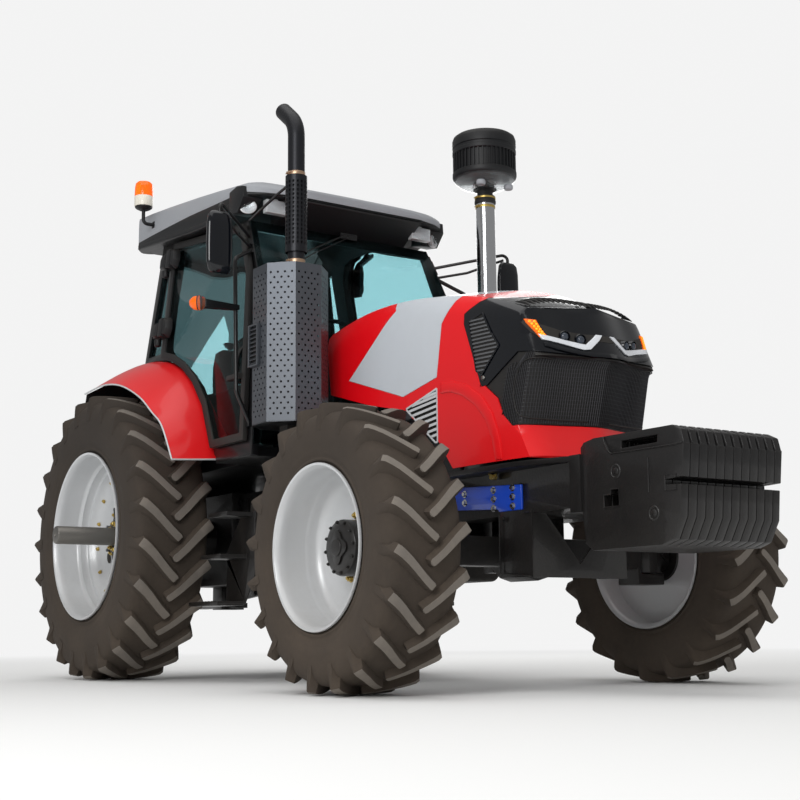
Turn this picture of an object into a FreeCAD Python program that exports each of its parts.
import FreeCAD, Part
import math
import os
import Sketcher
from types import SimpleNamespace

# A large four-wheel-drive farm tractor, standing empty on level ground.
# X runs forward, Y to the left and Z up, in millimetres.
# Lengths along X are measured ahead of the rear axle; the whole model is then
# shifted so that its origin is on the ground under the middle of its box.

Vector = FreeCAD.Vector

# Driving dimensions: name, millimetres or degrees, and what each one is.
SIZES = (
    ("rear_axle_x", -1710.0, "rear axle from the middle of the length"),
    ("wheelbase", 3093.0, "front axle ahead of the rear axle"),
    ("front_tyre_radius", 700.0, "lug tips of a front tyre"),
    ("front_tyre_half", 214.0, "half the width of a front tyre"),
    ("front_rim_radius", 403.0, "flange of a front rim"),
    ("wheel_offset", 195.0, "middle of a front tyre outside its kingpin"),
    ("rear_tyre_radius", 945.0, "lug tips of a rear tyre"),
    ("rear_tyre_half", 253.0, "half the width of a rear tyre"),
    ("rear_rim_radius", 555.0, "flange of a rear rim"),
    ("rear_track_half", 973.0, "middle of a rear tyre from the centre line"),
    ("lug_height", 38.0, "tread lug above the tyre's casing"),
    ("kingpin_half", 880.0, "kingpin from the centre line"),
    ("kingpin_radius", 30.0, "kingpin"),
    ("running_gap", 0.05, "radial clearance of a pin in its bore"),
    ("seat_gap", 0.3, "clearance between pieces that only touch"),
    ("moving_gap", 6.0, "clearance beside a piece that turns"),
    ("bar_axle_radius", 59.0, "bar axle of a rear wheel"),
    ("bar_axle_end", 1414.0, "outer end of a bar axle from the centre line"),
    ("trumpet_end", 640.0, "end of the rear axle housing from the centre line"),
    ("frame_half", 300.0, "half the width of the front frame"),
    ("frame_low", 865.0, "underside of the front frame"),
    ("frame_top", 1085.0, "top of the front frame"),
    ("weight_half", 325.0, "half the width of the stack of front weights"),
    ("weight_gap", 4.0, "gap between two front weights"),
    ("weights_ahead", 822.0, "back of the front weights ahead of the front axle"),
    ("spindle_radius", 55.0, "spindle of a front wheel"),
    ("trunnion_radius", 60.0, "pivot of the front axle"),
    ("engine_rear", 1850.0, "back of the engine block"),
    ("engine_behind", 233.0, "front of the engine block behind the front axle"),
    ("engine_half", 290.0, "half the width of the engine block"),
    ("engine_top", 1640.0, "top of the engine block"),
    ("gearbox_half", 240.0, "half the width of the gearbox"),
    ("hood_skin", 9.0, "thickness of the hood"),
    ("hood_rear", 1700.0, "back of the hood ahead of the rear axle"),
    ("hood_hinge_x", 1905.0, "hood hinge ahead of the rear axle"),
    ("hood_hinge_z", 1990.0, "hood hinge above the ground"),
    ("floor_top", 1390.0, "cab floor above the ground"),
    ("floor_depth", 60.0, "thickness of the cab floor"),
    ("cab_half_low", 835.0, "cab side from the centre line at the floor"),
    ("cab_lean", 5.7, "lean of the cab sides, degrees"),
    ("cab_post", 50.0, "thickness of the cab posts"),
    ("glass", 8.0, "thickness of the windows"),
    ("door_thick", 30.0, "thickness of a door frame"),
    ("door_gap", 6.0, "gap round a closed door"),
    ("door_hinge_x", 215.0, "door hinge ahead of the rear axle"),
    ("door_hinge_out", 52.0, "door hinge outside the cab side"),
    ("hinge_pin_radius", 11.0, "door hinge pin"),
    ("fender_radius", 1205.0, "inner edge of a fender from the rear axle"),
    ("fender_inner", 655.0, "inner edge of a fender from the centre line"),
    ("fender_outer", 1110.0, "outer edge of a fender from the centre line"),
    ("fender_skin", 9.0, "thickness of a fender"),
    ("stack_x", 1928.0, "exhaust and intake pipes ahead of the rear axle"),
    ("stack_half", 712.0, "exhaust and intake pipes from the centre line"),
    ("exhaust_radius", 51.0, "exhaust pipe"),
    ("intake_radius", 62.0, "intake pipe"),
    ("cover_half", 205.0, "half the width of the exhaust cover"),
    ("cover_low", 1470.0, "underside of the exhaust cover"),
    ("cover_top", 2395.0, "top of the exhaust cover"),
    ("link_pivot_z", 640.0, "lower link pivot above the ground"),
    ("link_pivot_x", -250.0, "lower link pivot ahead of the rear axle"),
    ("link_length", 906.0, "lower link between its eyes"),
    ("link_half", 430.0, "lower link from the centre line"),
    ("arm_pivot_z", 1290.0, "lift shaft above the ground"),
    ("arm_length", 400.0, "lift arm between its eyes"),
    ("lift_shaft_radius", 35.0, "lift shaft"),
    ("link_pin_radius", 18.0, "pivot pin of a lower link"),
    ("rod_pin_radius", 14.0, "pins at both ends of a lift rod"),
    ("link_eye_radius", 45.0, "round end of a lower link"),
    ("top_link_hole", 16.0, "radius of the top link's hole"),
    ("drawbar_hole", 16.5, "radius of the drawbar's pin hole"),
    ("pto_radius", 17.5, "power take-off shaft"),
    ("hood_pin_radius", 12.0, "hood hinge pin"),
    ("column_radius", 14.0, "steering column shaft"),
)


class Length(float):
    """A number that remembers the spreadsheet expression it comes from."""

    def __new__(cls, value, text):
        number = float.__new__(cls, value)
        number.text = text
        return number

    def __add__(self, other):
        return joined(self, "+", other, float(self) + float(other))

    def __radd__(self, other):
        return joined(other, "+", self, float(other) + float(self))

    def __sub__(self, other):
        return joined(self, "-", other, float(self) - float(other))

    def __rsub__(self, other):
        return joined(other, "-", self, float(other) - float(self))

    def __mul__(self, other):
        return joined(self, "*", other, float(self) * float(other))

    def __rmul__(self, other):
        return joined(other, "*", self, float(other) * float(self))

    def __truediv__(self, other):
        return joined(self, "/", other, float(self) / float(other))

    def __neg__(self):
        return joined(0.0, "-", self, -float(self))


def text_of(value):
    """The expression behind a length, or the plain number."""
    if isinstance(value, Length):
        return value.text
    return format(float(value), ".6f")


def joined(left, sign, right, value):
    """Two lengths in one expression."""
    return Length(value, "(" + text_of(left) + " " + sign + " " + text_of(right) + ")")


doc = FreeCAD.newDocument("Tractor")
sheet = doc.addObject("Spreadsheet::Sheet", "Sizes")
for row, (alias, value, meaning) in enumerate(SIZES, start=1):
    sheet.set("A" + str(row), meaning)
    sheet.set("B" + str(row), str(value))
    sheet.setAlias("B" + str(row), alias)
doc.recompute()
S = SimpleNamespace(**{alias: Length(value, "Sizes." + alias) for alias, value, meaning in SIZES})

# Every finished sub-part, by the name of its file.
nodes = {}


def bind(feature, **values):
    """Set properties of a feature from lengths, as expressions."""
    for path, value in values.items():
        feature.setExpression(path.replace("__", "."), text_of(value))


def place(feature, x=0.0, y=0.0, z=0.0):
    """Move a feature to a point given by lengths."""
    bind(feature, Placement__Base__x=x, Placement__Base__y=y, Placement__Base__z=z)
    return feature


def draw_outline(sketch, outline):
    """Add one closed outline of straight lines, each corner held by two dimensions."""
    first = sketch.GeometryCount
    corners = [Vector(float(u), float(v), 0.0) for u, v in outline]
    for here, there in zip(corners, corners[1:] + corners[:1]):
        sketch.addGeometry(Part.LineSegment(here, there), False)
    for index, (u, v) in enumerate(outline):
        line = first + index
        after = first + (index + 1) % len(outline)
        sketch.addConstraint(Sketcher.Constraint("Coincident", line, 2, after, 1))
        for kind, value in (("DistanceX", u), ("DistanceY", v)):
            number = sketch.addConstraint(Sketcher.Constraint(kind, -1, 1, line, 1, float(value)))
            if isinstance(value, Length):
                sketch.setExpression("Constraints[" + str(number) + "]", value.text)


def new_sketch(body, plane, level, outlines):
    """A sketch of closed outlines on an origin plane of its body, moved along the normal."""
    sketch = body.newObject("Sketcher::SketchObject", body.Name + "_outline")
    support = [plane_of for plane_of in body.Origin.OriginFeatures if plane_of.Role == plane + "_Plane"]
    sketch.AttachmentSupport = [(support[0], "")]
    sketch.MapMode = "FlatFace"
    sketch.setExpression("AttachmentOffset.Base.z", text_of(level))
    for outline in outlines:
        draw_outline(sketch, outline)
    return sketch


def prism(name, plane, outline, low, high, holes=()):
    """A straight-sided piece: an outline on a plane, with holes, from a low to a high level."""
    body = doc.addObject("PartDesign::Body", name)
    level = -high if plane == "XZ" else low
    sketch = new_sketch(body, plane, level, [outline] + list(holes))
    pad = body.newObject("PartDesign::Pad", name + "_pad")
    pad.Profile = sketch
    bind(pad, Length=high - low)
    return body


# How a point of an outline and its level become a point in space.
ON_PLANE = {
    "XY": lambda u, v, level: Vector(float(u), float(v), float(level)),
    "XZ": lambda u, v, level: Vector(float(u), -float(level), float(v)),
    "YZ": lambda u, v, level: Vector(float(level), float(u), float(v)),
}


def lofted(name, plane, sections):
    """A tapering piece: outlines of equal corners at rising levels, joined by flat faces."""
    at = ON_PLANE[plane]
    return shaped(name, skinned([[at(u, v, level) for u, v in outline] for level, outline in sections]))


def box(name, x, y, z):
    """A block between two ends on each axis."""
    block = doc.addObject("Part::Box", name)
    bind(block, Length=x[1] - x[0], Width=y[1] - y[0], Height=z[1] - z[0])
    return place(block, x[0], y[0], z[0])


# Turns that lay a cylinder, which stands along Z, along another axis.
AXIS_TURNS = {
    "X": FreeCAD.Rotation(Vector(0, 1, 0), 90),
    "Y": FreeCAD.Rotation(Vector(1, 0, 0), -90),
    "Z": FreeCAD.Rotation(),
}


def cylinder(name, axis, start, length, radius):
    """A cylinder from a start point, along an axis."""
    rod = doc.addObject("Part::Cylinder", name)
    rod.Placement = FreeCAD.Placement(Vector(0, 0, 0), AXIS_TURNS[axis])
    bind(rod, Radius=radius, Height=length)
    return place(rod, *start)


def rod(name, axis, start, length, radius, sides=12):
    """A many-sided bar from a start point, along an axis, for round pieces that nothing turns on."""
    bar = doc.addObject("Part::Prism", name)
    bar.Placement = FreeCAD.Placement(Vector(0, 0, 0), AXIS_TURNS[axis])
    bar.Polygon = sides
    bind(bar, Circumradius=radius, Height=length)
    return place(bar, *start)


def hole(name, axis, start, length, radius, sides=12):
    """A many-sided hole whose flats lie at a radius, for a round pin to turn in."""
    return rod(name, axis, start, length, radius / math.cos(math.pi / sides), sides)


def fuse(name, pieces):
    """One solid of several pieces."""
    joint = doc.addObject("Part::MultiFuse", name)
    joint.Shapes = pieces
    joint.Refine = False
    return joint


def cut(name, base, tool):
    """A piece less another."""
    rest = doc.addObject("Part::Cut", name)
    rest.Base = base
    rest.Tool = tool
    return rest


def group(name, pieces):
    """Several pieces that keep apart, as one sub-part."""
    bundle = doc.addObject("Part::Compound", name)
    bundle.Links = pieces
    return bundle


def mirrored(name, piece):
    """The same piece on the other side of the centre line."""
    twin = doc.addObject("Part::Mirroring", name)
    twin.Source = piece
    twin.Normal = Vector(0, 1, 0)
    return twin


def both_sides(name, piece):
    """A piece and its mirror image, as one sub-part."""
    return group(name, [piece, mirrored(name + "_left", piece)])


def shaped(name, shape):
    """A piece whose shape is worked out in code from the sizes."""
    feature = doc.addObject("Part::Feature", name)
    feature.Shape = shape
    return feature


FLAT = 0.0001


def flat_faces(corners):
    """One face through four corners, or two along the shorter diagonal where they aren't in one plane."""
    first, second, third, fourth = corners
    normal = (third - first).cross(fourth - second).normalize()
    if abs((second - first).dot(normal)) < FLAT:
        parts = [[first, second, third, fourth]]
    elif (third - first).Length < (fourth - second).Length:
        parts = [[first, second, third], [first, third, fourth]]
    else:
        parts = [[first, second, fourth], [second, third, fourth]]
    return [Part.Face(Part.makePolygon(part + part[:1])) for part in parts]


def closed_solid(faces):
    """A solid from the faces that close it."""
    shell = Part.makeShell(faces)
    shell.sewShape()
    solid = Part.makeSolid(shell)
    if solid.Volume < 0:
        solid.reverse()
    return solid


def skinned(rings):
    """A solid between closed outlines of equal corners, with flat faces between them and at both ends."""
    count = len(rings[0])
    faces = [Part.Face(Part.makePolygon(ring + ring[:1])) for ring in (rings[0], rings[-1])]
    for near, far in zip(rings, rings[1:]):
        for step in range(count):
            after = (step + 1) % count
            faces += flat_faces([near[step], near[after], far[after], far[step]])
    return closed_solid(faces)


def rounded_route(route, bend, steps):
    """The points of a route, each corner replaced by an arc of a bend radius in a few steps."""
    points = [Vector(*[float(value) for value in point]) for point in route]
    line = points[:1]
    for before, corner, after in zip(points, points[1:], points[2:]):
        back = (before - corner).normalize()
        ahead = (after - corner).normalize()
        half_turn = (math.pi - back.getAngle(ahead)) / 2
        centre = corner + (back + ahead).normalize() * (float(bend) / math.cos(half_turn))
        first = corner + back * (float(bend) * math.tan(half_turn)) - centre
        axis = back.cross(ahead) * -1.0
        for step in range(steps + 1):
            turn = FreeCAD.Rotation(axis, math.degrees(2 * half_turn) * step / steps)
            line.append(centre + turn.multVec(first))
    return line + points[-1:]


def tube(name, route, radius, bend, sides=8, steps=3):
    """A bar or pipe along straight runs and arcs, with flat facets."""
    line = rounded_route(route, bend, steps)
    way = (line[1] - line[0]).normalize()
    across = way.cross(Vector(0.13, 1.0, 0.31)).normalize()
    size = float(radius) / math.cos(math.pi / sides)
    ring = [line[0] + FreeCAD.Rotation(way, 360.0 * (step + 0.5) / sides).multVec(across) * size
            for step in range(sides)]
    rings = [ring]
    for index in range(1, len(line)):
        way = (line[index] - line[index - 1]).normalize()
        onward = (line[index + 1] - line[index]).normalize() if index + 1 < len(line) else way
        normal = (way + onward).normalize()
        ring = [point + way * ((line[index] - point).dot(normal) / way.dot(normal)) for point in ring]
        rings.append(ring)
    return shaped(name, skinned(rings))


def turned_form(name, sides, profile):
    """A round piece about Z with flat facets: profile rows are a radius and a height, rising."""
    turns = [2 * math.pi * (step + 0.5) / sides for step in range(sides)]
    rings = []
    for radius, level in profile:
        size = float(radius) / math.cos(math.pi / sides)
        rings.append([Vector(size * math.cos(turn), size * math.sin(turn), float(level)) for turn in turns])
    return shaped(name, skinned(rings))


def keep(label, feature):
    """Name a finished sub-part and shift it to the model's own frame."""
    feature.Label = label
    feature.setExpression("Placement.Base.x", S.rear_axle_x.text)
    nodes[label] = feature
    return feature


def ring_solid(sides, profile):
    """A ring about Y with flat facets: each profile corner is a radius and a place along Y."""
    turns = [2 * math.pi * step / sides for step in range(sides)]
    rings = []
    for radius, along in profile:
        size = float(radius) / math.cos(math.pi / sides)
        rings.append([Vector(size * math.sin(turn), float(along), size * math.cos(turn)) for turn in turns])
    faces = []
    for inner, outer in zip(rings, rings[1:] + rings[:1]):
        for step in range(sides):
            after = (step + 1) % sides
            faces += flat_faces([inner[step], inner[after], outer[after], outer[step]])
    return closed_solid(faces)


# Wheels

def tyre_shape(radius, half, rim, sides, pairs, side):
    """A tyre for a wheel on one side: a casing of flat facets with a chevron of lugs.

    side is +1 where the outer face looks along +Y. Lugs on the two halves alternate, and
    the tyre is turned so that it stands on two neighbouring lugs.
    """
    crown = float(radius) - float(S.lug_height)
    shoulder = crown - 0.02 * float(radius)
    half = float(half)
    bead = float(rim) - 18.0
    outer_half = [
        (crown, 0.5 * half),
        (shoulder, 0.93 * half),
        (0.5 * (shoulder + bead) + 12.0, half),
        (bead, 0.87 * half),
    ]
    profile = outer_half + [(size, -along) for size, along in reversed(outer_half)]
    casing = ring_solid(sides, profile)
    reach = 0.62 * half
    inner_width = 0.052 * float(radius)
    outer_width = 0.075 * float(radius)
    # Corners of a lug seen from above: along the tread, across it.
    footprint = [
        (-0.5 * reach - inner_width, -0.06 * half),
        (-0.5 * reach + 0.2 * inner_width, -0.06 * half),
        (0.5 * reach + 0.4 * outer_width, 0.93 * half),
        (0.5 * reach - 0.6 * outer_width, 0.93 * half),
    ]
    far = -footprint[0][0]
    top = math.sqrt(float(radius) ** 2 - far ** 2)
    drop = 0.011 * float(radius)
    low = crown - 50.0
    turn = side * math.degrees(math.atan2(far, top)) + 90.0 / pairs
    lugs = []
    for hand, offset in ((1, 0.0), (-1, 0.5)):
        corners_low = [Vector(side * along, hand * across, low) for along, across in footprint]
        corners_top = [
            Vector(side * along, hand * across, top - drop * max(across, 0.0) / half)
            for along, across in footprint
        ]
        walls = [
            [corners_low[k], corners_low[(k + 1) % 4], corners_top[(k + 1) % 4], corners_top[k]]
            for k in range(4)
        ]
        sides_of_lug = walls + [corners_low, corners_top]
        lug = closed_solid([face for four in sides_of_lug for face in flat_faces(four)])
        for step in range(pairs):
            one = lug.copy()
            one.rotate(Vector(0, 0, 0), Vector(0, 1, 0), 360.0 / pairs * (step + offset) + turn)
            lugs.append(one)
    return casing.fuse(lugs)


def rim_profile(rim, half, disc, hub, hub_out, hub_in, bore):
    """The rim, its dished disc and the hub as one closed profile of radius and place along Y.

    disc is the disc's place, hub its radius, hub_out and hub_in its ends, outwards positive.
    """
    seat = rim - 18.0 - S.seat_gap
    skin = 12.0
    return [
        (rim, half), (seat, 0.87 * half + 1.0), (seat, -0.87 * half - 1.0), (rim, -half),
        (seat - skin, -0.8 * half), (seat - skin, disc - 30.0), (hub, disc - 2 * skin), (hub, hub_in),
        (bore, hub_in), (bore, hub_out), (hub, hub_out), (hub, disc), (seat - skin, disc - 6.0),
        (seat - skin, 0.8 * half),
    ]


FRONT_TRACK = S.kingpin_half + S.wheel_offset
# Wheels: name, ahead, from the centre line, tip radius, half width, rim, sides, lug pairs,
# disc place, hub radius, hub's outer end, hub's inner end, bore.
WHEELS = (
    ("front", S.wheelbase, FRONT_TRACK, S.front_tyre_radius, S.front_tyre_half,
     S.front_rim_radius, 20, 20, -47.0, 137.0, 93.0, -75.0, S.spindle_radius + S.running_gap),
    ("rear", 0.0 * S.wheelbase, S.rear_track_half, S.rear_tyre_radius, S.rear_tyre_half,
     S.rear_rim_radius, 24, 23, -60.0, 150.0, 30.0, -110.0, S.bar_axle_radius + S.seat_gap),
)
FRONT_AXLE_Z = S.front_tyre_radius * math.cos(math.pi / 40)
REAR_AXLE_Z = S.rear_tyre_radius * math.cos(math.pi / 46)
for (name, ahead, track, radius, half, rim, sides, pairs, disc, hub, hub_out, hub_in, bore) in WHEELS:
    profile = rim_profile(rim, half, disc, hub, hub_out, hub_in, bore)
    forms = (
        ("tyre", shaped(name + "_tyre_form", tyre_shape(radius, half, rim, sides, pairs, 1))),
        ("rim", shaped(name + "_rim_form", ring_solid(sides, profile))),
    )
    axle_z = FRONT_AXLE_Z if name == "front" else REAR_AXLE_Z
    for kind, form in forms:
        for side, sign in (("left", 1), ("right", -1)):
            one = form if sign == 1 else mirrored(name + "_" + kind + "_twin", form)
            wheel_piece = group(name + "_" + kind + "_" + side, [one])
            keep(name + "_" + kind + "_" + side, wheel_piece)
            place(wheel_piece, S.rear_axle_x + ahead, sign * track, axle_z)

# The bar axles, one clamped in each rear wheel and running in the axle housing
bar_start = S.trumpet_end - 100.0
bar = cylinder("bar_form", "Y", (0.0, bar_start, REAR_AXLE_Z), S.bar_axle_end - bar_start,
               S.bar_axle_radius)
keep("bar_axle_left", group("bar_axle_left", [bar]))
keep("bar_axle_right", group("bar_axle_right", [mirrored("bar_twin", bar)]))

# Front axle: a beam with a fork at each end, hung from the frame by a trunnion
HOUSING = 95.0
SLOT = HOUSING + S.moving_gap
FORK = 160.0


def around(middle, half):
    """The two ends of a stretch about a middle."""
    return (middle - half, middle + half)


fork = box("fork", around(S.wheelbase, 80.0), (S.kingpin_half - 135.0, S.kingpin_half + 70.0),
           around(FRONT_AXLE_Z, FORK))
slot = box("fork_slot", around(S.wheelbase, 90.0), (S.kingpin_half - SLOT, S.kingpin_half + 80.0),
           around(FRONT_AXLE_Z, SLOT))
pin_bore = hole("pin_bore", "Z", (S.wheelbase, S.kingpin_half, FRONT_AXLE_Z - FORK - 10.0),
                2 * FORK + 20.0, S.kingpin_radius + S.running_gap, 8)
open_fork = cut("open_fork", fork, fuse("fork_tools", [slot, pin_bore]))
beam_end = S.kingpin_half - 130.0
beam = box("beam", around(S.wheelbase, 80.0), (-beam_end, beam_end), around(FRONT_AXLE_Z, 75.0))
differential = rod("differential", "X", (S.wheelbase - 115.0, 0.0, FRONT_AXLE_Z), 230.0, 150.0, 12)
trunnion = rod("trunnion", "X", (S.wheelbase - 205.0, 0.0, FRONT_AXLE_Z), 410.0, S.trunnion_radius)
keep("front_axle", fuse("front_axle", [
    beam, differential, trunnion, open_fork, mirrored("fork_twin", open_fork),
]))

# Knuckles: a housing on the kingpin with the spindle that carries the wheel
kingpin = cylinder("kingpin", "Z", (S.wheelbase, S.kingpin_half, FRONT_AXLE_Z), FORK, S.kingpin_radius)
kingpin_foot = rod("kingpin_foot", "Z", (S.wheelbase, S.kingpin_half, FRONT_AXLE_Z - FORK), FORK + 10.0,
                   S.kingpin_radius)
housing = rod("knuckle_housing", "Z", (S.wheelbase, S.kingpin_half, FRONT_AXLE_Z - HOUSING),
              2 * HOUSING, HOUSING)
hub_inner_face = FRONT_TRACK - 75.0
boss = rod("knuckle_boss", "Y", (S.wheelbase, S.kingpin_half, FRONT_AXLE_Z),
           hub_inner_face - S.moving_gap - S.kingpin_half, 85.0)
spindle = cylinder("spindle", "Y", (S.wheelbase, S.kingpin_half, FRONT_AXLE_Z),
                   S.wheel_offset + 85.0, S.spindle_radius)
knuckle = fuse("knuckle", [kingpin, kingpin_foot, housing, boss, spindle])
keep("knuckle_left", group("knuckle_left_part", [knuckle]))
keep("knuckle_right", group("knuckle_right_part", [mirrored("knuckle_right", knuckle)]))

# Front frame, the plates under it and the carrier of the weights
AXLE = S.wheelbase
WEIGHTS_REAR = AXLE + S.weights_ahead
ENGINE_FRONT = AXLE - S.engine_behind
BAND_TOP = S.frame_top + 25.0
main_block = box("frame_block", (ENGINE_FRONT + S.seat_gap, AXLE + 757.0), (-S.frame_half, S.frame_half),
                 (S.frame_low, S.frame_top))
carrier = box("weight_carrier", (AXLE + 747.0, WEIGHTS_REAR - S.seat_gap), (-S.weight_half, S.weight_half),
              (840.0, S.frame_top + 27.0))
BAND_HALF = S.frame_half + 125.0
band = prism("frame_band", "XY", [
    (AXLE - 133.0, -BAND_HALF), (AXLE + 387.0, -BAND_HALF), (AXLE + 547.0, 25.0 - BAND_HALF),
    (AXLE + 752.0, -S.weight_half), (AXLE + 752.0, S.weight_half), (AXLE + 547.0, BAND_HALF - 25.0),
    (AXLE + 387.0, BAND_HALF), (AXLE - 133.0, BAND_HALF),
], S.frame_top - 1.0, BAND_TOP)
GUARD_LOW = 551.0
guard = prism("side_guard", "XZ", [
    (AXLE + 197.0, S.frame_low + 20.0), (AXLE + 197.0, GUARD_LOW + 7.0), (AXLE + 447.0, GUARD_LOW),
    (AXLE + 447.0, S.frame_low + 20.0),
], S.frame_half - 6.0, S.frame_half + 12.0)
front_guard = prism("front_guard", "YZ", [
    (-S.frame_half, S.frame_low + 10.0), (-S.frame_half, GUARD_LOW), (S.frame_half, GUARD_LOW),
    (S.frame_half, S.frame_low + 10.0), (S.frame_half - 70.0, S.frame_low + 10.0), (0.0, GUARD_LOW + 69.0),
    (70.0 - S.frame_half, S.frame_low + 10.0),
], AXLE + 435.0, AXLE + 447.0)
hangers = [
    box("hanger_" + end, (AXLE + low, AXLE + high), (-110.0, 110.0),
        (FRONT_AXLE_Z - 100.0, S.frame_low + 10.0))
    for end, low, high in (("rear", -200.0, -125.0), ("front", 125.0, 200.0))
]
hanger_bore = hole("hanger_bore", "X", (AXLE - 210.0, 0.0, FRONT_AXLE_Z), 420.0,
                   S.trunnion_radius + S.seat_gap)
frame_solid = fuse("frame_solid", [
    main_block, carrier, band, guard, mirrored("guard_twin", guard), front_guard,
] + hangers)
keep("front_frame", cut("front_frame", frame_solid, hanger_bore))

bracket = prism("frame_bracket", "XZ", [
    (AXLE - 223.0, 1045.0), (AXLE - 223.0, 925.0), (AXLE + 182.0, 900.0), (AXLE + 197.0, 886.0),
    (AXLE + 374.0, 886.0), (AXLE + 374.0, 1011.0),
], S.frame_half + S.seat_gap, S.frame_half + S.seat_gap + 15.0)
keep("frame_brackets", both_sides("frame_brackets", bracket))

# Front weights: twelve slabs side by side, hooked on the carrier.
# Corners of a slab seen from the side: ahead of its back edge, above the ground.
WEIGHT_OUTLINE = [(WEIGHTS_REAR + ahead, level) for ahead, level in (
    (0.0, 1161.0), (92.0, 1178.0), (606.0, 1178.0), (661.0, 1102.0), (644.0, 945.0), (542.0, 930.0),
    (637.0, 914.0), (624.0, 776.0), (546.0, 657.0), (66.0, 655.0), (0.0, 700.0))]
SLABS = 12
weight_pitch = 2 * S.weight_half / SLABS
slabs = [
    prism("weight_" + str(slab), "XZ", WEIGHT_OUTLINE, (slab - SLABS / 2) * weight_pitch + S.weight_gap / 2,
          (slab + 1 - SLABS / 2) * weight_pitch - S.weight_gap / 2)
    for slab in range(SLABS)
]
keep("front_weights", group("front_weights", slabs))


def fore(x):
    """A place between the back of the hood and its nose, which keeps in step with the wheelbase."""
    share = (x - 1700.0) / (3093.0 - 1700.0)
    return S.hood_rear + share * (S.wheelbase - S.hood_rear)


# Engine, radiator pack, gearbox and rear axle housing
engine = box("engine_form", (S.engine_rear, ENGINE_FRONT), (-S.engine_half, S.engine_half),
             (720.0, S.engine_top))
hood_post = box("hood_post", around(S.hood_hinge_x, 20.0), (200.0, 244.0),
                (S.engine_top - 1.0, S.hood_hinge_z + 22.0))
PIN_HALF = 282.0
hood_pin = cylinder("hood_pin", "Y", (S.hood_hinge_x, -PIN_HALF, S.hood_hinge_z), 80.0, S.hood_pin_radius)
hood_bar = rod("hood_bar", "Y", (S.hood_hinge_x, 75.0 - PIN_HALF, S.hood_hinge_z), 2 * PIN_HALF - 75.0,
               S.hood_pin_radius)
keep("engine_block", fuse("engine_block", [
    engine, hood_post, mirrored("hood_post_twin", hood_post), hood_pin, hood_bar,
]))
keep("cooling_pack", group("cooling_pack", [
    box("cooling_form", (fore(3030.0), fore(3300.0)), (-340.0, 340.0), (BAND_TOP + S.seat_gap, 1850.0)),
]))
gearbox = box("gearbox", (300.0, S.engine_rear - S.seat_gap), (-S.gearbox_half, S.gearbox_half),
              (650.0, 1230.0))
HOUSING_REAR = -380.0
HOUSING_LOW = 620.0
centre_housing = box("centre_housing", (HOUSING_REAR, 350.0), (-300.0, 300.0), (HOUSING_LOW, 1240.0))
trumpet = rod("trumpet", "Y", (0.0, 290.0, REAR_AXLE_Z), S.trumpet_end - 290.0, 135.0, 12)
trumpet_bore = hole("trumpet_bore", "Y", (0.0, bar_start - 1.0, REAR_AXLE_Z), 110.0,
                    S.bar_axle_radius + S.running_gap, 16)
open_trumpet = cut("open_trumpet", trumpet, trumpet_bore)
ARM_X = -430.0
CAB_REAR = -345.0
lift_boss = box("lift_boss", (ARM_X - 50.0, CAB_REAR - S.seat_gap), (-260.0, 260.0),
                around(S.arm_pivot_z, 60.0))
top_link_ear = box("top_link_ear", (HOUSING_REAR - 90.0, HOUSING_REAR + 10.0), (-40.0, 40.0),
                   (900.0, 990.0))
top_link_hole = hole("top_link_hole", "Y", (HOUSING_REAR - 60.0, -50.0, 945.0), 100.0, S.top_link_hole, 8)
shaft_bore = hole("shaft_bore", "Y", (ARM_X, -270.0, S.arm_pivot_z), 540.0,
                  S.lift_shaft_radius + S.running_gap)
pto_shaft = cylinder("pto_stub", "X", (HOUSING_REAR - 90.0, 0.0, 730.0), 100.0, S.pto_radius)
link_lug = box("link_lug", around(S.link_pivot_x, 50.0), (290.0, S.link_half - 15.0 - S.seat_gap),
               around(S.link_pivot_z, 45.0))
link_pin_near = (S.link_pivot_x, S.link_half - 50.0, S.link_pivot_z)
link_pin = cylinder("link_pin", "Y", link_pin_near, 65.0, S.link_pin_radius)
link_bar_pin = rod("link_bar_pin", "Y", link_pin_near, 65.0, S.link_pin_radius)
transmission = fuse("transmission", [
    gearbox, centre_housing, open_trumpet, mirrored("trumpet_twin", open_trumpet), lift_boss, top_link_ear,
    pto_shaft, link_lug, link_pin, mirrored("link_lug_twin", link_lug),
    mirrored("link_pin_twin", link_bar_pin),
])
housing_tools = fuse("housing_tools", [shaft_bore, top_link_hole])
keep("transmission_housing", cut("transmission_housing", transmission, housing_tools))

# Drawbar under the rear housing
bar_plate = box("drawbar_plate", (-700.0, -60.0), (-45.0, 45.0), (470.0, 505.0))
bar_hanger = box("drawbar_hanger", (-340.0, -200.0), (-90.0, 90.0), (460.0, HOUSING_LOW - S.seat_gap))
bar_hole = cylinder("drawbar_hole", "Z", (-650.0, 0.0, 460.0), 60.0, S.drawbar_hole)
keep("drawbar", cut("drawbar", fuse("drawbar_solid", [bar_plate, bar_hanger]), bar_hole))

# Three-point linkage: the lift shaft with its arms, the lift rods and the lower links
LINK_DROP = 80.0
reach = S.link_length - S.link_eye_radius
slope = math.atan2(LINK_DROP, float(reach))
rise = (math.cos(slope), math.sin(slope))
arm_tip = (ARM_X - S.arm_length * rise[0], S.arm_pivot_z - S.arm_length * rise[1])
rod_foot = (S.link_pivot_x - S.arm_length * rise[0], S.link_pivot_z - S.arm_length * rise[1])
link_end = (S.link_pivot_x - reach, S.link_pivot_z - LINK_DROP)


def bar_outline(start, end, half):
    """Four corners of a straight flat bar between two pin centres."""
    run = (float(end[0] - start[0]), float(end[1] - start[1]))
    long = math.hypot(*run)
    off = (-run[1] / long * half, run[0] / long * half)
    return [
        (start[0] + off[0], start[1] + off[1]), (end[0] + off[0], end[1] + off[1]),
        (end[0] - off[0], end[1] - off[1]), (start[0] - off[0], start[1] - off[1]),
    ]


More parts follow.
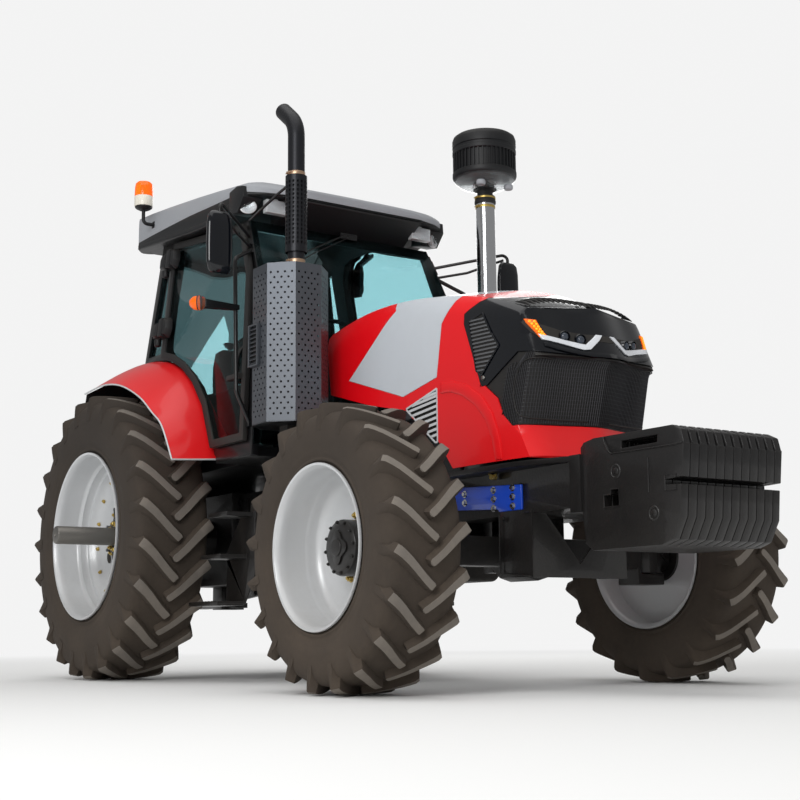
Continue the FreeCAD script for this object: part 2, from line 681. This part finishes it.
def eye(name, centre, near, thick, radius):
    """The round end of a flat bar."""
    return rod(name, "Y", (centre[0], near, centre[1]), thick, radius, 10)


def eye_hole(name, centre, near, thick, radius):
    """The hole for a pin through the end of a flat bar."""
    return hole(name, "Y", (centre[0], near, centre[1]), thick, radius, 10)


arm_near = S.link_half - 65.0
ARM_THICK = 30.0
arm_bar = prism("lift_arm_bar", "XZ", bar_outline((ARM_X, S.arm_pivot_z), arm_tip, 38.0),
                arm_near, arm_near + ARM_THICK)
arm_pin_near = (arm_tip[0], arm_near, arm_tip[1])
arm_pin = cylinder("lift_arm_pin", "Y", arm_pin_near, ARM_THICK + 19.5, S.rod_pin_radius)
arm_bar_pin = rod("lift_arm_bar_pin", "Y", arm_pin_near, ARM_THICK + 19.5, S.rod_pin_radius)
arm_pieces = [
    arm_bar, eye("arm_root", (ARM_X, S.arm_pivot_z), arm_near, ARM_THICK, 60.0),
    eye("arm_end", arm_tip, arm_near, ARM_THICK, 38.0),
]
SHAFT_PROUD = 10.0
shaft = rod("lift_shaft", "Y", (ARM_X, -arm_near, S.arm_pivot_z), 2 * arm_near + SHAFT_PROUD,
            S.lift_shaft_radius)
shaft_end = cylinder("lift_shaft_end", "Y", (ARM_X, -arm_near - SHAFT_PROUD, S.arm_pivot_z),
                     SHAFT_PROUD + 0.5 * ARM_THICK, S.lift_shaft_radius)
keep("lift_arms", fuse("lift_arms", [shaft, shaft_end, arm_pin, mirrored("arm_pin_twin", arm_bar_pin)]
                       + arm_pieces
                       + [mirrored("arm_twin_" + str(k), piece) for k, piece in enumerate(arm_pieces)]))
rod_near = arm_near + ARM_THICK + S.seat_gap
rod_thick = 20.0 - 2 * S.seat_gap
rod_solid = fuse("lift_rod_solid", [
    prism("lift_rod_bar", "XZ", bar_outline(arm_tip, rod_foot, 18.0), rod_near, rod_near + rod_thick),
    eye("rod_head", arm_tip, rod_near, rod_thick, 32.0),
    eye("rod_heel", rod_foot, rod_near, rod_thick, 32.0),
])
rod_bores = fuse("rod_bores", [
    eye_hole("rod_bore_" + end, centre, rod_near - 5.0, rod_thick + 10.0, S.rod_pin_radius + S.running_gap)
    for end, centre in (("head", arm_tip), ("heel", rod_foot))
])
keep("lift_rods", both_sides("lift_rods", cut("lift_rod", rod_solid, rod_bores)))
link_near = S.link_half - 15.0
link_solid = fuse("link_solid", [
    prism("link_bar", "XZ", bar_outline((S.link_pivot_x, S.link_pivot_z), link_end, 38.0),
          link_near, link_near + 30.0),
    eye("link_root", (S.link_pivot_x, S.link_pivot_z), link_near, 30.0, S.link_eye_radius),
    eye("link_tip", link_end, link_near, 30.0, S.link_eye_radius),
    rod("rod_pin", "Y", (rod_foot[0], link_near - 19.5, rod_foot[1]), 25.0, S.rod_pin_radius),
])
link_bores = fuse("link_bores", [
    eye_hole("link_root_bore", (S.link_pivot_x, S.link_pivot_z), link_near - 5.0, 40.0,
             S.link_pin_radius + S.running_gap),
    cylinder("link_tip_bore", "Y", (link_end[0], link_near - 5.0, link_end[1]), 40.0,
             S.link_pin_radius + 0.7),
])
keep("lower_links", both_sides("lower_links", cut("lower_link", link_solid, link_bores)))

# Tanks and steps between the wheels
tank_near = S.engine_half + S.seat_gap
TANK_HALF = 690.0
tank = prism("side_tank", "YZ", [
    (tank_near, 640.0), (345.0, 590.0), (TANK_HALF - 50.0, 590.0), (TANK_HALF, 640.0), (TANK_HALF, 1060.0),
    (TANK_HALF - 40.0, 1110.0), (tank_near, 1110.0),
], 1330.0, fore(2050.0))
tank_strap = box("tank_strap", (1500.0, 1640.0), (S.gearbox_half + S.seat_gap, tank_near + 2.0),
                 (800.0, 900.0))
keep("side_tanks", both_sides("side_tanks", fuse("tank_solid", [tank, tank_strap])))
STEP_NEAR = TANK_HALF + S.seat_gap
step_side = prism("step_side", "XZ", [
    (1055.0, 460.0), (1055.0, 786.0), (1255.0, 1020.0), (1420.0, 1020.0), (1420.0, 640.0), (1290.0, 460.0),
], STEP_NEAR, TANK_HALF + 10.0)
# Treads: back edge, front edge, underside
TREADS = ((900.0, 1290.0, 460.0), (1060.0, 1320.0, 740.0), (1160.0, 1400.0, 990.0))
treads = [
    box("step_tread_" + str(k), (back, front), (STEP_NEAR, TANK_HALF + 190.0), (level, level + 25.0))
    for k, (back, front, level) in enumerate(TREADS)
]
keep("cab_steps", both_sides("cab_steps", fuse("step_solid", [step_side] + treads)))

# Cab: floor, wheel boxes and the leaning side frames
LEAN = math.radians(float(S.cab_lean))
FLOOR_LOW = S.floor_top - S.floor_depth
ARCH_Z = REAR_AXLE_Z - S.floor_top
arch_radius = S.fender_radius + 18.0


def arch(radius, low_x, high_x, count, level):
    """Points along the arch over a rear wheel, from a front place to a back one."""
    points = []
    for step in range(count):
        x = high_x + (low_x - high_x) * step / (count - 1)
        points.append((x, level + math.sqrt(float(radius) ** 2 - float(x) ** 2)))
    return points


def on_cab_side(name, piece, side):
    """Lean a right-hand piece, drawn upright in the plane of the cab side, into its place."""
    holder = group(name, [piece])
    lean = FreeCAD.Rotation(Vector(1, 0, 0), -float(S.cab_lean))
    holder.Placement = FreeCAD.Placement(Vector(0, 0, 0), lean)
    holder.setExpression("Placement.Rotation.Angle", S.cab_lean.text)
    holder.Placement.Rotation.Axis = Vector(-1, 0, 0)
    place(holder, 0.0, -S.cab_half_low, S.floor_top)
    return holder if side == "right" else mirrored(name + "_twin", holder)


sill_front = 1625.0
frame_outline = [
    (sill_front, -55.0), (sill_front, 0.0), (1475.0, 1115.0), (1290.0, 1490.0), (-20.0, 1630.0),
] + arch(arch_radius, -110.0, 1140.0, 8, ARCH_Z)[::-1] + [(1200.0, -55.0)]
door_hole = [(1555.0, 45.0), (1412.0, 1090.0), (1245.0, 1430.0), (290.0, 1530.0)] \
    + arch(arch_radius + 45.0, 290.0, 1150.0, 7, ARCH_Z)[::-1]
quarter_hole = [(140.0, 1545.0), (40.0, 1560.0), (-60.0, 815.0), (140.0, 812.0)]
side_frame = prism("side_frame", "XZ", frame_outline, 0.0, S.cab_post, [door_hole, quarter_hole])
SHELL_STOPS = (-330.0, 0.0, 330.0, 620.0, 860.0, 1030.0, 1130.0)


def offset_line(line, by):
    """An open line of points moved sideways, to the left of its direction, with mitred corners."""
    moved = []
    last = len(line) - 1
    for index in range(len(line)):
        normals = []
        for first in (index - 1, index):
            if 0 <= first < last:
                run_x = float(line[first + 1][0] - line[first][0])
                run_y = float(line[first + 1][1] - line[first][1])
                long = math.hypot(run_x, run_y)
                normals.append((-run_y / long, run_x / long))
        mean = [sum(parts) / len(normals) for parts in zip(*normals)]
        scale = float(by) / (mean[0] ** 2 + mean[1] ** 2)
        moved.append((float(line[index][0]) + mean[0] * scale, float(line[index][1]) + mean[1] * scale))
    return moved


def strip(line, near, far):
    """The band between two offsets of an open line, as a closed outline."""
    return offset_line(line, near) + offset_line(line, far)[::-1]


def inset(outline, by):
    """A closed outline moved inwards all round; it runs anticlockwise or clockwise."""
    points = [(float(u), float(v)) for u, v in outline]
    area = sum(u1 * v2 - u2 * v1 for (u1, v1), (u2, v2) in zip(points, points[1:] + points[:1]))
    wrapped = [points[-1]] + points + [points[0]]
    return offset_line(wrapped, by if area > 0 else -by)[1:-1]


def common(name, first, second):
    """What two pieces share."""
    shared = doc.addObject("Part::MultiCommon", name)
    shared.Shapes = [first, second]
    return shared


shell_line = [(x, REAR_AXLE_Z + math.sqrt(float(S.fender_radius) ** 2 - x ** 2)) for x in SHELL_STOPS]
# Door hinges: name, height up the door, how its pin is made. The upper pin is round all along.
DOOR_HINGES = (("low", 935.0, rod), ("high", 1430.0, cylinder))
hinge_pieces = []
for level, height, pin_maker in DOOR_HINGES:
    pin_foot = (S.door_hinge_x, -S.door_hinge_out, height - 26.0)
    hinge_pieces += [
        box("hinge_bracket_" + level, (S.door_hinge_x - 75.0, S.door_hinge_x + 16.0),
            (-S.door_hinge_out - 16.0, 10.0), (height - 26.0, height - 6.0)),
        pin_maker("hinge_pin_" + level, "Z", pin_foot, 80.0, S.hinge_pin_radius),
    ]
side_part = fuse("side_part", [side_frame] + hinge_pieces)
side_frames = [on_cab_side("side_frame_right", side_part, "right"),
               on_cab_side("side_frame_left", side_part, "left")]
floor = prism("floor", "XY", [
    (-340.0, -645.0), (1150.0, -645.0), (1150.0, -830.0), (1600.0, -830.0),
    (1600.0, 830.0), (1150.0, 830.0), (1150.0, 645.0), (-340.0, 645.0),
], FLOOR_LOW, S.floor_top)
under_shell = offset_line(shell_line, -S.fender_skin - S.seat_gap)
wheel_box = prism("wheel_box", "XZ", [(-340.0, FLOOR_LOW), (-340.0, 2080.0)] + under_shell
                  + [(1130.0, FLOOR_LOW)], S.fender_inner - 16.0, S.fender_inner + 13.0)
rear_wall = box("rear_wall", (CAB_REAR, CAB_REAR + 15.0), (-S.fender_inner, S.fender_inner),
                (FLOOR_LOW, 2101.0))
header = prism("roof_header", "XZ", [
    (1270.0, 2800.0), (1322.0, 2796.0), (1288.0, 2866.0), (1230.0, 2872.0),
], -690.0, 690.0)
ROOF_SLOPE = 0.10634


def roof_under(x):
    """Underside of the roof, which rests on the cab frame."""
    return 2872.9 + S.seat_gap - ROOF_SLOPE * (x - 1290.0)


rear_header = prism("rear_header", "XZ", [
    (-330.0, 3000.0), (-290.0, 3000.0), (-290.0, roof_under(-290.0) - S.seat_gap),
    (-330.0, roof_under(-330.0) - S.seat_gap),
], -480.0, 480.0)
rear_post = lofted("rear_post", "XY", [
    (2080.0, [(-340.0, -510.0), (-300.0, -510.0), (-300.0, -470.0), (-340.0, -470.0)]),
    (3020.0, [(-330.0, -490.0), (-290.0, -490.0), (-290.0, -450.0), (-330.0, -450.0)]),
])
keep("cab_frame", fuse("cab_frame", side_frames + [
    floor, wheel_box, mirrored("wheel_box_twin", wheel_box), rear_wall, header, rear_header, rear_post,
    mirrored("rear_post_twin", rear_post),
]))

# Doors: a frame with its pane, hung on the two hinge pins of the cab side
DOOR_NEAR = -S.door_gap
DOOR_FAR = DOOR_NEAR - S.door_thick
door_outline = [(1570.0, 30.0), (1440.0, 1115.0), (1280.0, 1457.0), (S.door_hinge_x + 25.0, 1582.0)] \
    + arch(1240.0, 240.0, 1139.0, 6, 930.0 - S.floor_top)[::-1]
door_opening = inset(door_outline, 48.0)
door_pieces = [prism("door_frame", "XZ", door_outline, DOOR_FAR, DOOR_NEAR, [door_opening])]
for level, height, _ in DOOR_HINGES:
    door_pieces += [
        rod("door_barrel_" + level, "Z", (S.door_hinge_x, -S.door_hinge_out, height), 46.0, 18.0, 8),
        box("door_arm_" + level, (S.door_hinge_x, S.door_hinge_x + 70.0),
            (-S.door_hinge_out - 8.0, DOOR_FAR + 2.0), (height, height + 46.0)),
    ]
door_bore = hole("door_bore", "Z", (S.door_hinge_x, -S.door_hinge_out, 900.0), 700.0,
                 S.hinge_pin_radius + S.running_gap, 8)
handle = box("door_handle", (1330.0, 1480.0), (DOOR_FAR - 30.0, DOOR_FAR + 2.0), (420.0, 450.0))
door_solid = cut("door_solid", fuse("door_pieces", door_pieces + [handle]), door_bore)
PANE_FAR = DOOR_NEAR - 19.0
door_pane = prism("door_pane", "XZ", inset(door_opening, S.seat_gap), PANE_FAR, PANE_FAR + S.glass)
for side in ("right", "left"):
    for kind, form in (("frame", door_solid), ("glass", door_pane)):
        on_side = on_cab_side("door_" + kind + "_on_" + side, form, side)
        keep("door_" + side + "_" + kind, group("door_" + kind + "_" + side, [on_side]))

# Windscreen, cut to the lean of the cab sides
screen_line = [(1625.3, 1396.0), (1475.7, 2499.7), (1295.8, 2864.0)]
screen_band = prism("screen_band", "XZ", strip(screen_line, -S.glass, 0.0), -850.0, 850.0)
screen_half_low = S.cab_half_low - 5.0
screen_half_high = screen_half_low - 1500.0 * math.tan(LEAN)
screen_width = prism("screen_width", "YZ", [
    (-screen_half_low, 1390.0), (screen_half_low, 1390.0),
    (screen_half_high, 2890.0), (-screen_half_high, 2890.0),
], 1200.0, 1700.0)
keep("windscreen", common("windscreen", screen_band, screen_width))

# Rear windows: the middle pane, a turned-in pane at each corner and the small ones behind the doors
middle_pane = lofted("middle_pane", "XY", [
    (2101.3, [(-324.0, -469.3), (-316.0, -469.3), (-316.0, 469.3), (-324.0, 469.3)]),
    (2999.7, [(-314.0, -450.0), (-306.0, -450.0), (-306.0, 450.0), (-314.0, 450.0)]),
])
corner_pane = lofted("corner_pane", "XY", [
    (2000.0, bar_outline((-325.0, -516.0), (-128.0, -744.0), 4.0)),
    (2985.0, bar_outline((-315.0, -496.0), (-28.0, -648.0), 4.0)),
])
over_shell = offset_line(shell_line, S.seat_gap)
fender_zone = prism("fender_zone", "XZ", [(-420.0, 1900.0), (-420.0, 2089.0)] + over_shell
                    + [(1100.0, 1300.0)], -900.0, -400.0)
corner_pane = cut("corner_glass", corner_pane, fender_zone)
quarter_pane = prism("quarter_pane", "XZ", inset(quarter_hole, S.seat_gap), 20.0, 28.0)
keep("rear_windows", group("rear_windows", [
    middle_pane, corner_pane, mirrored("corner_pane_twin", corner_pane),
    on_cab_side("quarter_right", quarter_pane, "right"), on_cab_side("quarter_left", quarter_pane, "left"),
]))

# Roof: stations ahead, half width, underside, side top, crown
LIP_LOW = 2998.0
ROOF_STATIONS = (
    (-345.0, 700.0, roof_under(-345.0), 3230.0, 3262.0),
    (-250.0, 770.0, roof_under(-250.0), 3270.0, 3315.0),
    (600.0, 775.0, roof_under(600.0), 3178.0, 3235.0),
    (1288.0, 770.0, roof_under(1288.0), 3093.0, 3140.0),
    (1298.0, 770.0, LIP_LOW, 3092.0, 3138.0),
    (1370.0, 765.0, LIP_LOW, 3082.0, 3120.0),
    (1505.0, 520.0, LIP_LOW, 3040.0, 3062.0),
)
roof_form = lofted("roof_form", "YZ", [
    (x, [(60.0 - half, under), (-half, under + 30.0), (-half, side_top), (120.0 - half, crown),
         (half - 120.0, crown), (half, side_top), (half, under + 30.0), (half - 60.0, under)])
    for x, half, under, side_top, crown in ROOF_STATIONS
])
keep("cab_roof", group("cab_roof", [roof_form]))

# Lamps under the front edge of the roof and at its back corners: ahead, from the centre line, height,
# half width, half height
WORK_LAMPS = (
    (1400.0, 557.0, 2945.0, 75.0, 42.0),
    (1330.0, 715.0, 2942.0, 55.0, 45.0),
    (-375.3, 640.0, 3140.0, 55.0, 45.0),
)
lamp_pieces = []
for k, (x, y, z, half_y, half_z) in enumerate(WORK_LAMPS):
    lamp_pieces.append(box("work_lamp_" + str(k), around(x, 30.0), around(y, half_y), around(z, half_z)))
    if x > 0:
        stem_ends = (z + half_z - 2.0, LIP_LOW - S.seat_gap)
        lamp_pieces.append(box("lamp_stem_" + str(k), around(x, 12.0), around(y, 14.0), stem_ends))
lamps_right = group("lamps_right", lamp_pieces)
keep("work_lamps", both_sides("work_lamps", lamps_right))

# Fenders: an arched shell that falls away to its outer lip
MIDDLE_STOPS = (
    (-330.0, 2052.0), (0.0, 2080.0), (328.0, 2030.0), (612.0, 1908.0), (835.0, 1750.0), (1000.0, 1580.0),
    (1122.0, 1353.0),
)
LIP_STOPS = (
    (-330.0, 1962.0), (0.0, 1973.0), (300.0, 1925.0), (600.0, 1808.0), (800.0, 1682.0), (958.0, 1571.0),
    (1112.0, 1345.0),
)
fender = lofted("fender", "XZ", [
    (across, strip(line, -S.fender_skin, 0.0))
    for across, line in ((S.fender_inner, shell_line), (800.0, shell_line), (950.0, list(MIDDLE_STOPS)),
                         (S.fender_outer, list(LIP_STOPS)))
])
keep("fenders", both_sides("fenders", fender))

# Exhaust: an eight-sided perforated cover, a sleeve and a pipe that bends backwards
def octagon(x, y, half):
    """A regular eight-sided outline about a point."""
    side = half * math.tan(math.pi / 8)
    corners = ((half, -side), (half, side), (side, half), (-side, half), (-half, side), (-half, -side),
               (-side, -half), (side, -half))
    return [(x + along, y + across) for along, across in corners]


cover_x = S.stack_x - 23.0
cover_y = -S.stack_half - 23.0
cover = prism("exhaust_cover", "XY", octagon(cover_x, cover_y, S.cover_half), S.cover_low, S.cover_top)
cover_dome = lofted("cover_dome", "XY", [
    (S.cover_top - 1.0, octagon(cover_x, cover_y, S.cover_half - 6.0)),
    (S.cover_top + 30.0, octagon(cover_x, cover_y, S.cover_half - 70.0)),
])
cover_arm = box("cover_arm", (1960.0, 2040.0), (-700.0, -S.engine_half - S.seat_gap),
                (1380.0, S.cover_low + 2.0))
keep("muffler_cover", fuse("muffler_cover", [cover, cover_dome, cover_arm]))
pipe_foot = S.cover_top + 30.0 + S.seat_gap
pipe_route = [(S.stack_x, -S.stack_half, pipe_foot), (S.stack_x, -S.stack_half, 3300.0),
              (1770.0, -S.stack_half, 3432.0)]
pipe = tube("exhaust_form", pipe_route, S.exhaust_radius, 180.0, 10, 3)
pipe_hole = tube("exhaust_hole", pipe_route, S.exhaust_radius - 7.0, 180.0, 10, 3)
sleeve = tube("exhaust_sleeve", [(S.stack_x, -S.stack_half, 2500.0), (S.stack_x, -S.stack_half, 2970.0)],
              S.exhaust_radius + 14.0, 0.0, 10)
keep("exhaust_pipe", cut("exhaust_pipe", fuse("exhaust_solid", [pipe, sleeve]), pipe_hole))

# Intake: a pipe on the other side with the drum of a pre-cleaner on top
INTAKE_TOP = 3135.0
intake = tube("intake_form", [
    (S.stack_x, S.stack_half, INTAKE_TOP), (S.stack_x, S.stack_half, 1540.0),
    (S.stack_x, S.engine_half + S.seat_gap, 1540.0),
], S.intake_radius, 110.0, 12, 3)
keep("intake_pipe", group("intake_pipe", [intake]))
drum = turned_form("drum", 16, [
    (72.0, 0.0), (72.0, 55.0), (200.0, 58.0), (210.0, 80.0), (210.0, 290.0), (150.0, 345.0), (60.0, 378.0),
])
drum_on_pipe = place(drum, S.stack_x, S.stack_half, INTAKE_TOP + S.seat_gap)
keep("pre_cleaner", group("pre_cleaner", [drum_on_pipe]))

# Mirrors, handrails with marker lamps, beacon
mirror_foot = on_cab_side("mirror_foot", prism("mirror_plate", "XZ", [
    (1358.0, 1306.0), (1379.0, 1306.0), (1324.0, 1417.0), (1306.0, 1417.0)], -22.0, -S.seat_gap), "right")
mirror_arm = tube("mirror_arm", [
    (1345.0, -712.0, 2743.0), (1680.0, -1090.0, 2820.0), (1680.0, -1090.0, 2740.0),
], 11.0, 40.0, 6, 2)
mirror_case = box("mirror_case", (1650.0, 1710.0), (-1175.0, -1005.0), (2380.0, 2762.0))
keep("mirrors", both_sides("mirrors", fuse("mirror_right", [mirror_foot, mirror_arm, mirror_case])))
RAIL_FEET = (
    ("high", [(1370.0, 1277.0), (1390.0, 1277.0), (1404.0, 1250.0), (1384.0, 1250.0)]),
    ("low", [(1572.0, 110.0), (1604.0, 110.0), (1598.0, 160.0), (1566.0, 160.0)]),
)
rail_plates = [(level, prism("rail_plate_" + level, "XZ", outline, -22.0, -S.seat_gap))
               for level, outline in RAIL_FEET]
rail_feet = [on_cab_side("rail_foot_" + level, plate, "right") for level, plate in rail_plates]
rail = tube("rail_form", [(1388.0, -722.0, 2648.0), (1480.0, -882.0, 2550.0), (1605.0, -930.0, 1700.0),
                          (1588.0, -832.0, 1524.0)], 13.0, 50.0, 6, 1)
marker_bracket = box("marker_bracket", (1518.0, 1546.0), (-1120.0, -890.0), (2215.0, 2240.0))
keep("handrails", both_sides("handrails", fuse("handrail_right", [rail, marker_bracket] + rail_feet)))
marker = box("marker_form", (1485.0, 1575.0), (-1175.0, -1120.0 - S.seat_gap), (2190.0, 2262.0))
keep("marker_lamps", both_sides("marker_lamps", marker))
beacon_arm = tube("beacon_arm", [
    (20.0, -771.9, 3150.0), (20.0, -850.0, 3150.0), (20.0, -850.0, 3262.0),
], 13.0, 30.0, 6, 2)
beacon_lens = turned_form("beacon_lens", 12, [(62.0, 0.0), (66.0, 40.0), (60.0, 165.0), (42.0, 195.0)])
keep("beacon", fuse("beacon", [beacon_arm, place(beacon_lens, 20.0, -850.0, 3258.0)]))

# Seat, dashboard with its column, console and steering wheel
seat_base = fuse("seat_base", [
    box("seat_pedestal", (370.0, 720.0), (-170.0, 170.0), (S.floor_top + S.seat_gap, 1660.0)),
    box("seat_pan", (330.0, 830.0), (-235.0, 235.0), (1640.0, 1700.0)),
    prism("seat_back_frame", "XZ", [
        (330.0, 1650.0), (360.0, 1650.0), (262.0, 2330.0), (232.0, 2330.0),
    ], -180.0, 180.0),
])
keep("seat_frame", group("seat_frame", [seat_base]))
cushion = prism("seat_cushion", "XZ", [
    (420.0, 1700.3), (850.0, 1700.3), (870.0, 1760.0), (850.0, 1830.0), (440.0, 1810.0),
], -245.0, 245.0)
backrest = prism("seat_backrest", "XZ", [
    (362.0, 1760.0), (470.0, 1800.0), (400.0, 2400.0), (268.0, 2400.0),
], -235.0, 235.0)
back_gap = prism("back_gap", "XZ", [
    (200.0, 1600.0), (366.9, 1600.0), (252.0, 2420.0), (200.0, 2420.0),
], -300.0, 300.0)
keep("seat_cushions", group("seat_cushions", [cushion, cut("backrest_cut", backrest, back_gap)]))
COLUMN_TILT = math.radians(40.0)
column_way = Vector(-math.sin(COLUMN_TILT), 0.0, math.cos(COLUMN_TILT))
wheel_at = Vector(1050.0, 0.0, 2190.0)


def on_column(name, piece, along):
    """Stand a piece, made about Z, on the steering column's axis at a distance from the wheel."""
    holder = group(name, [piece])
    spot = wheel_at + column_way * along
    holder.Placement = FreeCAD.Placement(spot, FreeCAD.Rotation(Vector(0, -1, 0), 40.0))
    return holder


COLUMN_LENGTH = 420.0
column_tube = rod("column_tube", "Z", (0.0, 0.0, 0.0), 360.0, 38.0)
column_bore = hole("column_bore", "Z", (0.0, 0.0, 250.0), 120.0, S.column_radius + S.running_gap)
dash = prism("dash", "XZ", [
    (1180.0, S.floor_top + S.seat_gap), (1500.0, S.floor_top + S.seat_gap), (1500.0, 2010.0),
    (1400.0, 2075.0), (1290.0, 2000.0), (1190.0, 1800.0),
], -190.0, 190.0)
dash_solid = fuse("dash_solid", [dash, on_column("column_on", column_tube, -COLUMN_LENGTH)])
keep("dashboard", cut("dashboard", dash_solid, on_column("bore_on", column_bore, -COLUMN_LENGTH)))
RIM_TURNS = [2 * math.pi * (step + 0.5) / 5 for step in range(5)]
wheel_rim = shaped("wheel_rim", ring_solid(16, [
    (200.0 + 15.0 * math.cos(turn), 15.0 * math.sin(turn)) for turn in RIM_TURNS]))
wheel_rim.Placement = FreeCAD.Placement(Vector(0, 0, 0), FreeCAD.Rotation(Vector(1, 0, 0), 90))
wheel_hub = rod("wheel_hub", "Z", (0.0, 0.0, -50.0), 60.0, 45.0)
wheel_shaft = cylinder("wheel_shaft", "Z", (0.0, 0.0, -150.0), 110.0, S.column_radius)
spoke_across = box("spoke_across", (-14.0, 14.0), (-200.0, 200.0), (-10.0, 6.0))
spoke_along = box("spoke_along", (-200.0, 0.0), (-16.0, 16.0), (-10.0, 6.0))
steering_solid = fuse("steering_solid", [wheel_rim, wheel_hub, wheel_shaft, spoke_across, spoke_along])
keep("steering_wheel", group("steering_wheel", [on_column("steering_on", steering_solid, 0.0)]))
console = prism("console", "XZ", [
    (380.0, S.floor_top + S.seat_gap), (1000.0, S.floor_top + S.seat_gap), (1000.0, 1700.0),
    (900.0, 1900.0), (380.0, 1900.0),
], -560.0, -330.0)
keep("side_console", group("side_console", [console]))

# Hood: stations ahead, half width, shoulder and crown
HOOD_STATIONS = (
    (1700.0, 448.0, 1925.0, 2125.0),
    (2200.0, 448.0, 1985.0, 2205.0),
    (2600.0, 448.0, 1985.0, 2200.0),
    (3000.0, 445.0, 1945.0, 2140.0),
    (3350.0, 436.0, 1880.0, 2050.0),
    (3600.0, 415.0, 1790.0, 1950.0),
    (3900.0, 380.0, 1660.0, 1790.0),
)
# Nose in plan: height, where the sides turn in, the corners and the middle of the nose
NOSE_LEVELS = (
    (1040.0, 3500.0, 3700.0, 3850.0),
    (1285.0, 3480.0, 3590.0, 3705.0),
    (1600.0, 3500.0, 3671.0, 3790.0),
    (1612.0, 3530.0, 3712.0, 3830.0),
    (1860.0, 3430.0, 3600.0, 3722.0),
    (2300.0, 3250.0, 3410.0, 3530.0),
)


def hood_form(name, skin):
    """The hood as a solid, drawn in by a skin thickness."""
    along = lofted(name + "_along", "YZ", [
        (x, [(-half + skin, 1030.0 - skin), (half - skin, 1030.0 - skin),
             (half - skin, shoulder - 0.4 * skin),
             (0.92 * half - skin, shoulder + 0.55 * (crown - shoulder) - 0.8 * skin),
             (0.68 * half - 0.5 * skin, crown - 0.2 * (crown - shoulder) - skin), (0.0, crown - skin),
             (-0.68 * half + 0.5 * skin, crown - 0.2 * (crown - shoulder) - skin),
             (-0.92 * half + skin, shoulder + 0.55 * (crown - shoulder) - 0.8 * skin),
             (-half + skin, shoulder - 0.4 * skin)])
        for x, half, shoulder, crown in [(fore(row[0]),) + row[1:] for row in HOOD_STATIONS]
    ])
    rear = S.hood_rear + 20.0 - skin
    plan = lofted(name + "_plan", "XY", [
        (z, [(rear, -500.0), (fore(turn_in) - skin, -500.0), (fore(corner) - skin, -400.0),
             (fore(middle) - skin, 0.0), (fore(corner) - skin, 400.0), (fore(turn_in) - skin, 500.0),
             (rear, 500.0)])
        for z, turn_in, corner, middle in NOSE_LEVELS
    ])
    return common(name, along, plan)


shell = cut("hood_hollow", hood_form("hood_outer", 0.0 * S.hood_skin), hood_form("hood_inner", S.hood_skin))
HOOD_UNDER = (
    (1650.0, 1000.0), (1650.0, 2160.0), (1780.0, 2160.0), (1828.0, 2120.0), (1884.0, 1680.0),
    (2300.0, 1560.0), (2660.0, 1480.0), (2950.0, 1285.0), (3075.0, 1122.0), (3900.0, 1122.0),
    (3900.0, 1000.0),
)
hood_under = prism("hood_under", "XZ", [(fore(x), z) for x, z in HOOD_UNDER], -520.0, 520.0)
open_shell = cut("hood_open", shell, hood_under)
MASK = [(fore(x), z) for x, z in (
    (3195.0, 1915.0), (3190.0, 1860.0), (3320.0, 1515.0), (3365.0, 1515.0), (3590.0, 1652.0),
    (3960.0, 1600.0), (3960.0, 2300.0), (3440.0, 2300.0), (3420.0, 2010.0))]
GRILLE = [(fore(x), z) for x, z in (
    (3374.0, 1500.0), (3592.0, 1640.0), (3960.0, 1588.0), (3960.0, 1288.0), (3540.0, 1288.0),
    (3478.0, 1350.0), (3440.0, 1440.0))]
ear = fuse("hood_ear", [
    box("hood_ear_plate", around(S.hood_hinge_x, 20.0), (250.0, 280.0),
        (S.hood_hinge_z, S.hood_hinge_z + 300.0)),
    rod("hood_ear_end", "Y", (S.hood_hinge_x, 250.0, S.hood_hinge_z), 30.0, 30.0),
])
tall_ears = fuse("hood_ears", [ear, mirrored("hood_ear_twin", ear)])
ears = common("hood_ears_fitted", tall_ears, hood_form("hood_limit", 0.5 * S.hood_skin))
hood_bore = hole("hood_bore", "Y", (S.hood_hinge_x, -320.0, S.hood_hinge_z), 640.0,
                 S.hood_pin_radius + S.running_gap)
hood_tools = fuse("hood_tools", [
    hood_bore, prism("mask_gap", "XZ", inset(MASK, -S.seat_gap), -520.0, 520.0),
    prism("grille_gap", "XZ", inset(GRILLE, -S.seat_gap), -520.0, 520.0),
])
keep("hood_shell", cut("hood_shell", fuse("hood_eared", [open_shell, ears]), hood_tools))
lamp_slot = box("lamp_slot", (fore(3560.0), fore(3900.0)), (-372.0, 372.0), (1650.0, 1745.0))
mask_zone = prism("mask_zone", "XZ", MASK, -520.0, 520.0)
keep("headlight_mask", cut("headlight_mask", common("mask_solid", open_shell, mask_zone), lamp_slot))
keep("grille_mesh", common("grille_mesh", open_shell, prism("grille_zone", "XZ", GRILLE, -520.0, 520.0)))

# Export
doc.recompute()
os.makedirs("parts", exist_ok=True)
for label, feature in nodes.items():
    if feature.Shape.isNull() or not feature.Shape.isValid():
        raise RuntimeError("the shape of " + label + " is not valid")
    feature.Shape.exportStep("parts/" + label + ".step")
print("sub-parts:", len(nodes))
